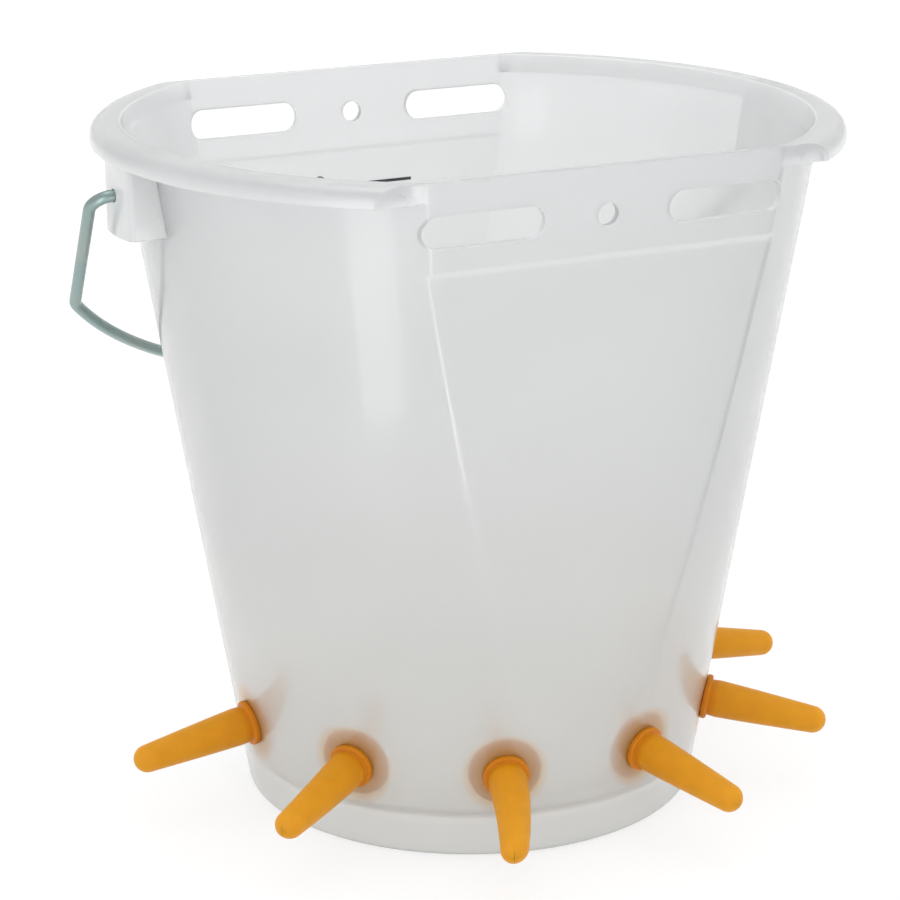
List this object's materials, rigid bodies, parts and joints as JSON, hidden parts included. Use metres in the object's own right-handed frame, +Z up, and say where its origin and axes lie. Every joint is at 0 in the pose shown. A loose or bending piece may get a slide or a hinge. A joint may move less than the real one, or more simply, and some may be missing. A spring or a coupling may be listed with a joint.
{
  "type": "multi teat lamb feeder",
  "caption": "Translucent tapered bucket with two flattened sides, hanging slots, a wire bail and a row of rubber teats low on the front, each with a ball check valve.",
  "frame": {"origin": "middle of the foot ring, on the surface that the bucket stands on", "axes": "+Z up; +X along the flat sides; +Y to the flat side that hangs on the fence, away from the teats"},
  "size_m": [0.3358, 0.2747, 0.295],
  "materials": {
    "bucket_plastic": "natural translucent polypropylene, glossy outside",
    "bail_wire": "bright zinc plated drawn wire",
    "teat_rubber": "satin natural latex, orange",
    "valve_plastic": "natural moulded plastic",
    "valve_steel": "polished stainless ball"
  },
  "bodies": {
    "bucket": {"bucket": "bucket_plastic", "teat_1": "teat_rubber", "teat_2": "teat_rubber", "teat_3": "teat_rubber", "teat_4": "teat_rubber", "teat_5": "teat_rubber", "teat_6": "teat_rubber", "valve_seat_1": "valve_plastic", "valve_seat_2": "valve_plastic", "valve_seat_3": "valve_plastic", "valve_seat_4": "valve_plastic", "valve_seat_5": "valve_plastic", "valve_seat_6": "valve_plastic", "valve_cage_1": "valve_plastic", "valve_cage_2": "valve_plastic", "valve_cage_3": "valve_plastic", "valve_cage_4": "valve_plastic", "valve_cage_5": "valve_plastic", "valve_cage_6": "valve_plastic"},
    "bail": {"bail": "bail_wire"},
    "ball_1": {"valve_ball_1": "valve_steel"},
    "ball_2": {"valve_ball_2": "valve_steel"},
    "ball_3": {"valve_ball_3": "valve_steel"},
    "ball_4": {"valve_ball_4": "valve_steel"},
    "ball_5": {"valve_ball_5": "valve_steel"},
    "ball_6": {"valve_ball_6": "valve_steel"}
  },
  "joints": [
    {"name": "bail_swing", "type": "hinge", "parent": "bucket", "child": "bail", "pos_m": [0, 0, 0.2745], "axis": [1, 0, 0], "range_deg": [0, 267.6]},
    {"name": "valve_1_slide", "type": "slide", "parent": "bucket", "child": "ball_1", "axis": [0.9865, 0, 0.1639], "range_m": [0, 0.0024]},
    {"name": "valve_2_slide", "type": "slide", "parent": "bucket", "child": "ball_2", "axis": [0.7981, 0.5798, 0.1639], "range_m": [0, 0.0024]},
    {"name": "valve_3_slide", "type": "slide", "parent": "bucket", "child": "ball_3", "axis": [0.3048, 0.9382, 0.1639], "range_m": [0, 0.0024]},
    {"name": "valve_4_slide", "type": "slide", "parent": "bucket", "child": "ball_4", "axis": [-0.3048, 0.9382, 0.1639], "range_m": [0, 0.0024]},
    {"name": "valve_5_slide", "type": "slide", "parent": "bucket", "child": "ball_5", "axis": [-0.7981, 0.5798, 0.1639], "range_m": [0, 0.0024]},
    {"name": "valve_6_slide", "type": "slide", "parent": "bucket", "child": "ball_6", "axis": [-0.9865, 0, 0.1639], "range_m": [0, 0.0024]}
  ]
}
